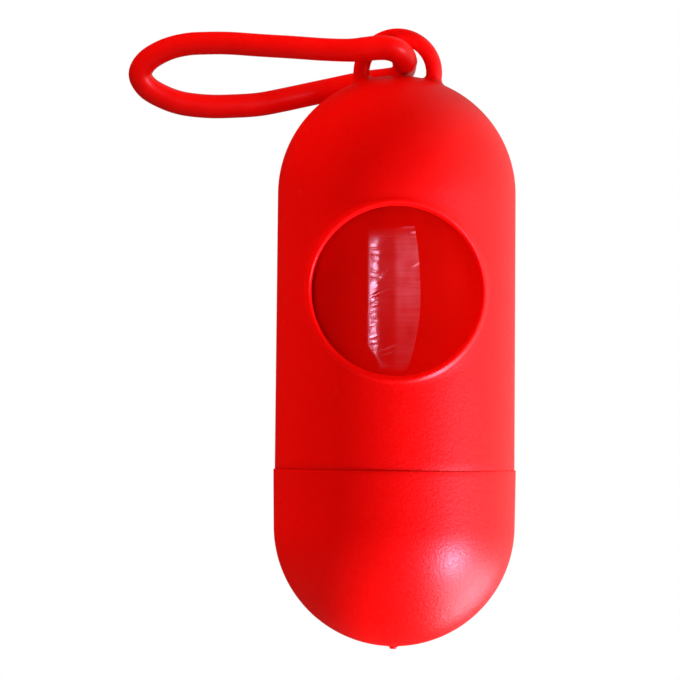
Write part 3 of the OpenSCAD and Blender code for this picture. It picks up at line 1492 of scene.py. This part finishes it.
    def __post_init__(self) -> None:
        """Take the roll's sizes from the frame's boxes."""
        low, high = box_mm("leading_bag")
        self.roll_r = high.x
        self.foot_z, self.top_z = low.z, high.z
        self.web_r = box_mm("bag_roll")[1].x
        self.core_r = box_mm("roll_core")[1].x
        self.lap_r = (self.roll_r + self.web_r) / 2
        self.folds = (*self.creases, *self.breaks())

    def breaks(self) -> list[Crease]:
        """Scatter the breaks up the streak, one in each of as many equal stretches.

        Returns:
            The breaks, as low creases that don't whiten.
        """
        chance = random.Random(self.break_seed)
        low, high = self.break_z
        step = (high - low) / self.break_count
        found = []
        for place in range(self.break_count):
            z = low + (place + chance.uniform(*self.break_spacing)) * step
            slant = chance.uniform(*self.break_slant)
            height = chance.uniform(*self.break_height)
            width = chance.uniform(*self.break_width)
            left = chance.uniform(*self.break_left)
            right = chance.uniform(*self.break_right)
            found.append(Crease((left, z - slant), (right, z + slant), height, width, 0.0))
        return found

    def build_core(self) -> bpy.types.Object:
        """Model and dress the card core.

        Returns:
            The core.
        """
        soft, round_steps = self.core_round, 3
        bore = self.core_r - self.core_wall
        corners = (
            ((self.core_r - soft, self.top_z - soft), 0),
            ((bore + soft, self.top_z - soft), 90),
            ((bore + soft, self.foot_z + soft), 180),
            ((self.core_r - soft, self.foot_z + soft), 270),
        )
        profile: list[Point] = []
        for centre, start in corners:
            profile += arc(centre, (soft, soft), start, start + 90, round_steps)
        bm = bmesh.new()
        spin_profile(bm, profile, closed=True)
        piece = make_piece("card_core", bm, self.card.material())
        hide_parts("roll_core")
        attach(piece, "core")
        return piece

    def build_web(self) -> bpy.types.Object:
        """Model and dress the wound film, with shallow rings in its end faces.

        Returns:
            The wound film.
        """
        soft, groove_steps = self.web_round, 4
        bore = self.core_r + self.web_gap
        steps = self.face_grooves * groove_steps
        spots = [bore + soft + (self.web_r - bore - 2 * soft) * i / steps for i in range(steps + 1)]
        turns = [2 * math.pi * i / groove_steps for i in range(steps + 1)]
        dips = [self.groove_h * (0.5 - 0.5 * math.cos(turn)) for turn in turns]
        top = [(r, self.top_z - dip) for r, dip in zip(spots, dips)]
        foot = [(r, self.foot_z + dip) for r, dip in zip(spots, dips)]
        outer = [(self.web_r, self.top_z - soft), (self.web_r, self.foot_z + soft)]
        inner = [(bore, self.foot_z + soft), (bore, self.top_z - soft)]
        bm = bmesh.new()
        spin_profile(bm, top + outer + foot[::-1] + inner, closed=True)
        piece = make_piece("wound_film", bm, self.web.material())
        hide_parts("bag_roll")
        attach(piece, "film")
        return piece

    def stations(self, marks: Sequence[tuple[float, float]], last: float) -> list[float]:
        """Space out grid lines, with a step of its own for each stretch.

        Args:
            marks: start of each stretch and its step.
            last: end of the last stretch.

        Returns:
            The places of the grid lines.
        """
        places = []
        ends = [start for start, _ in marks[1:]] + [last]
        for (start, step), end in zip(marks, ends):
            count = max(1, round((end - start) / step))
            places += [start + (end - start) * i / count for i in range(count)]
        return places + [last]

    def build_leading_bag(self) -> bpy.types.Object:
        """Model and dress the outermost bag, with its creases and its loose edge.

        Returns:
            The bag.
        """
        half, (low, high) = self.view_half, self.view_z
        turns = (
            (self.edge_azimuth - 360 - self.under_lap, self.inner_step),
            (-360 - half, self.inner_step),
            (-360 + half, self.back_step),
            (-half, self.view_step),
        )
        rows = ((self.foot_z, self.foot_row), (low, self.view_row), (high, self.top_row))
        columns = self.stations(turns, self.edge_azimuth)
        heights = self.stations(rows, self.top_z)
        last_column, last_row = len(columns) - 1, len(heights) - 1
        bm = bmesh.new()
        bmesh.ops.create_grid(bm, x_segments=last_column, y_segments=last_row, size=0.5)
        # Paleness layer: whitening in creases, and painted sheen and painted glints on the flap
        whitening_and_highlight = bm.verts.layers.float.new("crease")
        gloss = bm.verts.layers.float.new("flap")
        # The grid is one unit wide and high, so a vertex's place says its column and row
        for vert in bm.verts:
            column = round((vert.co.x + 0.5) * last_column)
            row = round((vert.co.y + 0.5) * last_row)
            vert.co, vert[whitening_and_highlight], vert[gloss] = self.film_place(columns[column], heights[row])
        bmesh.ops.recalc_face_normals(bm, faces=bm.faces)
        bmesh.ops.solidify(bm, geom=bm.faces[:], thickness=self.film_t)
        piece = make_piece("leading_bag_film", bm, self.film.material(), sharp_angle=70.0)
        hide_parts("leading_bag")
        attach(piece, "film")
        return piece

    def film_place(self, turn: float, z: float) -> tuple[Vector, float, float]:
        """Find where a point of the outermost bag lies, how pale and how much flap it is.

        Args:
            turn: azimuth of the point before the edge's bow, in degrees.
            z: height.

        Returns:
            The place, the paleness and the share of flap, both from 0 to 1.
        """
        bow = self.edge_bow if z > self.edge_middle_z else self.foot_bow
        bow *= min(self.bow_limit, ((z - self.edge_middle_z) / self.bow_h) ** 2)
        from_edge = turn - self.edge_azimuth
        azimuth = turn - bow * smooth_step(-self.view_half, 0.0, from_edge)
        arc_x = math.radians(azimuth) * self.roll_r
        start, end = self.climb
        over = smooth_step(start - self.under_lap, end - self.under_lap, from_edge)
        reach = self.lap_r + (self.roll_r - self.lap_r - self.outer_gap) * over
        pale = flap = 0.0
        if turn > -self.view_half:
            off_edge = math.radians(from_edge) * self.roll_r
            lift = self.edge_lift * smooth_step(-self.edge_lift_w, 0.0, off_edge)
            reach += lift * (self.edge_wave_mean + self.edge_wave_h * self.edge_wave.at(arc_x, z))
            pale, flap = self.flap_look(arc_x, z)
            for fold in self.folds:
                held = fold.weight(arc_x, z)
                reach += fold.height * held
                # Crease whitening, with painted glints on the brightest creases
                pale = max(pale, fold.whitening_and_highlight * held)
        reach += self.wrinkle_h * sum(strength * wave.at(arc_x, z) for strength, wave in self.wrinkles)
        reach += self.looseness * self.slack.at(arc_x, z) * over + self.spring(azimuth, z)
        angle = math.radians(azimuth)
        return Vector((reach * math.sin(angle), -reach * math.cos(angle), z)), pale, flap

    def flap_look(self, arc_x: float, z: float) -> tuple[float, float]:
        """Say how pale the painted sheen makes a place in the window, and how much of it is loose flap.

        Args:
            arc_x: arc length of the place.
            z: height of the place.

        Returns:
            The painted sheen's paleness and the share of flap.
        """
        inside = smooth_step(self.flap_foot, self.flap_foot + self.flap_foot_fade, z)
        inside *= smooth_step(-self.flap_top, -self.flap_top + self.flap_top_fade, -z)
        lean_top, lean_foot = self.flap_lean_z
        left = self.flap_left + self.flap_lean * smooth_step(-lean_top, -lean_foot, -z)
        flap = inside * smooth_step(left, left + self.flap_fade, arc_x)
        # Painted sheen: paler colour in place of the light the flap mirrors, patchy, densest at its
        # edge and top
        patchiness = self.sheen_mean + sum(strength * wave.at(arc_x, z) for strength, wave in self.sheen_waves)
        flap_sheen = self.flap_sheen * smooth_step(*self.flap_sheen_x, arc_x)
        flap_sheen += self.edge_sheen * smooth_step(*self.edge_sheen_x, arc_x)
        upper = self.foot_sheen_share + self.top_sheen_share * smooth_step(*self.top_sheen_z, z)
        return inside * patchiness * flap_sheen * upper, flap

    def spring(self, azimuth: float, z: float) -> float:
        """Say how far the film springs out where the window lets it.

        Args:
            azimuth: azimuth of the place, in degrees.
            z: height of the place.

        Returns:
            The distance.
        """
        around = abs((azimuth + 180) % 360 - 180)
        sides = smooth_step(*self.side_bulge, around)
        out = self.bulge_h + (self.side_bulge_h - self.bulge_h) * sides
        out += self.rim_bulge_h * smooth_step(*self.rim_bulge, around)
        out *= smooth_step(-self.bulge_end, -self.view_half, -around)
        whole, gone = self.bulge_half
        return out * smooth_step(-gone, -whole, -abs(z - self.bulge_z))

    def build(self) -> list[bpy.types.Object]:
        """Model and dress the whole roll.

        Returns:
            Its pieces.
        """
        return [self.build_core(), self.build_web(), self.build_leading_bag()]


# ---------------------------------------------------------------- studio


class Lit(Enum):
    """The pieces that a lamp lights, by name, where none named means all.

    Most lamps are kept off some pieces, as flags do in a studio, so that the mirror image of
    each falls only where it is wanted.
    """

    ALL = ()
    FILM = ("leading_bag_film",)
    LOOP = ("soft_loop",)
    CASING = ("barrel_shell", "end_cap_shell")
    CASING_AND_FILM = ("barrel_shell", "end_cap_shell", "leading_bag_film")


@dataclass(frozen=True)
class Lamp:
    """A soft rectangular lamp, placed by the direction in which the dispenser sees it.

    Angles are in degrees, with azimuths from the front to the right; sizes are in metres.
    """

    name: str
    azimuth: float
    elevation: float
    distance: float
    width: float
    height: float
    radiance: float
    tint: str = "ffffff"
    lit: Lit = Lit.ALL
    mirrored: bool = True
    shadow: bool = True

    def switch_on(self, target: Vector) -> None:
        """Set the lamp up.

        Args:
            target: the point that it faces, in metres.
        """
        azimuth, elevation = math.radians(self.azimuth), math.radians(self.elevation)
        out = Vector(
            (
                math.sin(azimuth) * math.cos(elevation),
                -math.cos(azimuth) * math.cos(elevation),
                math.sin(elevation),
            )
        )
        light = bpy.data.lights.new(self.name, "AREA")
        light.shape = "RECTANGLE"
        light.size, light.size_y = self.width, self.height
        light.energy = math.pi * self.width * self.height * self.radiance
        light.color = linear(self.tint)[:3]
        light.use_shadow = self.shadow
        lamp = put_in_scene(self.name, light)
        lamp.location = target + out * self.distance
        lamp.rotation_euler = out.to_track_quat("Z", "Y").to_euler()
        lamp.visible_camera = False
        lamp.visible_glossy = self.mirrored
        if self.lit is not Lit.ALL:
            receivers = bpy.data.collections.new(self.name)
            for name in self.lit.value:
                receivers.objects.link(bpy.data.objects[name])
            lamp.light_linking.receiver_collection = receivers


@dataclass(frozen=True)
class Glow:
    """A grey glow of the surround, which brightens smoothly towards one side."""

    towards: Triple
    dim: float
    bright: float
    # Cosines from the bright side at which the rise starts and ends
    ramp: Span

    def level(self, tree: bpy.types.NodeTree) -> bpy.types.NodeSocket:
        """Make the glow's level in each direction.

        Args:
            tree: the world's node tree.

        Returns:
            The level's socket.
        """
        direction = add_node(tree, "ShaderNodeTexCoord").outputs["Generated"]
        aligned = add_node(
            tree,
            "ShaderNodeVectorMath",
            {0: direction, 1: Vector(self.towards).normalized()},
            operation="DOT_PRODUCT",
        )
        level = add_node(
            tree,
            "ShaderNodeMapRange",
            {
                "Value": aligned.outputs["Value"],
                "From Min": self.ramp[0],
                "From Max": self.ramp[1],
                "To Min": self.dim,
                "To Max": self.bright,
            },
            interpolation_type="SMOOTHSTEP",
        )
        return level.outputs["Result"]


@dataclass
class Studio:
    """Camera, lamps, floor and a white surround, in metres."""

    view_x: float = -0.00826
    view_z: float = -0.04165
    view_width: float = 0.10098
    distance: float = 1.5
    # Roll of the camera, in degrees
    lean: float = 0.46
    # Width of the camera's sensor, in millimetres
    sensor: float = 36.0
    clip_end: float = 20.0
    floor_z: float = -0.5
    floor_r: float = 1.3
    floor_sides: int = 96
    paper: PalePaper = PalePaper()
    # Matt surfaces are lit from above, and glossy ones mirror a glow from the right
    matt_glow: Glow = Glow((0, -0.1, 1), 0.15, 0.9, (-1, 1))
    mirrored_glow: Glow = Glow((0.92, 0.4, 0), 0.01, 0.5, (0.1, 0.95))
    lamps: tuple[Lamp, ...] = (
        Lamp("key", 63, -29.5, 0.55, 0.09, 0.07, 172.0, "ffccfa", Lit.CASING),
        Lamp("panel", 97, -5, 0.45, 0.75, 0.50, 0.18, "fff0f8"),
        Lamp("under", 104, -42, 0.42, 0.45, 0.24, 6.2, "ffe2f8", Lit.CASING_AND_FILM),
        Lamp("strip", -26.2, 1.43, 0.50, 0.060, 0.0150, 31.0, "ffd2fa", Lit.FILM),
        Lamp("film_front", 50, -24, 0.50, 0.20, 0.20, 16.5, lit=Lit.FILM, mirrored=False, shadow=False),
        Lamp("sheen", 46, 12, 0.50, 0.14, 0.14, 13.0, "ffd4f0", Lit.LOOP),
        Lamp("loop_top", 0, 52, 0.40, 0.12, 0.24, 5.5, lit=Lit.LOOP, mirrored=False),
        Lamp("fill", -75, -55, 0.40, 0.30, 0.30, 0.9, lit=Lit.CASING_AND_FILM, mirrored=False),
        Lamp("left", -106, 47, 0.24, 0.20, 0.20, 2.1, lit=Lit.CASING_AND_FILM, mirrored=False),
    )

    def place_camera(self) -> None:
        """Aim a long lens level at the capsule, leaning by a touch."""
        camera = bpy.data.cameras.new("camera")
        camera.sensor_width = self.sensor
        camera.lens = self.sensor * self.distance / self.view_width
        camera.clip_end = self.clip_end
        eye = put_in_scene("camera", camera)
        eye.location = (self.view_x, -self.distance, self.view_z)
        eye.rotation_euler = (math.pi / 2, -math.radians(self.lean), 0)
        bpy.context.scene.camera = eye

    def lay_floor(self) -> None:
        """Lay a round pale floor well under the hanging dispenser."""
        bm = bmesh.new()
        bmesh.ops.create_circle(bm, cap_ends=True, segments=self.floor_sides, radius=self.floor_r)
        bmesh.ops.translate(bm, vec=(0, 0, self.floor_z), verts=bm.verts)
        mesh = bpy.data.meshes.new("floor")
        bm.to_mesh(mesh)
        bm.free()
        mesh.materials.append(self.paper.material())
        floor = put_in_scene("floor", mesh)

    def surround(self) -> None:
        """Fill the world: white for the camera, and a glow each for matt and glossy surfaces."""
        world = bpy.data.worlds.new("surround")
        world.use_nodes = True
        # Found by bounced rays alone, so that each ray gets the light of its own kind
        world.cycles.sampling_method = "NONE"
        bpy.context.scene.world = world
        tree = world.node_tree
        rays = add_node(tree, "ShaderNodeLightPath").outputs
        shiny = add_node(
            tree,
            "ShaderNodeMath",
            {0: rays["Is Glossy Ray"], 1: rays["Is Transmission Ray"]},
            operation="MAXIMUM",
        )
        matt, mirrored = self.matt_glow.level(tree), self.mirrored_glow.level(tree)
        lit = add_node(tree, "ShaderNodeMix", {"Factor": shiny.outputs[0], "A": matt, "B": mirrored})
        seen = add_node(
            tree, "ShaderNodeMix", {"Factor": rays["Is Camera Ray"], "A": lit.outputs[0], "B": 1.0}
        )
        feed(tree, tree.nodes["Background"], {"Color": seen.outputs[0]})

    def build(self) -> None:
        """Set up the camera, the floor and the surround."""
        bpy.context.scene.view_settings.view_transform = "Standard"
        self.place_camera()
        self.lay_floor()
        self.surround()

    def light(self) -> None:
        """Switch the lamps on, once the pieces that they single out are there."""
        target = Vector((0, 0, self.view_z))
        for lamp in self.lamps:
            lamp.switch_on(target)


def main() -> None:
    """Build the studio and the dispenser, and report each piece."""
    logging.basicConfig(level=logging.INFO, format="%(name)s: %(message)s")
    studio = Studio()
    studio.build()
    pieces = [Barrel().build(), EndCap().build(), StrapLoop().build(), *RefillRoll().build()]
    for piece in pieces:
        log.info("%s: %d faces", piece.name, len(piece.data.polygons))
    studio.light()


if __name__ == "__main__":
    main()
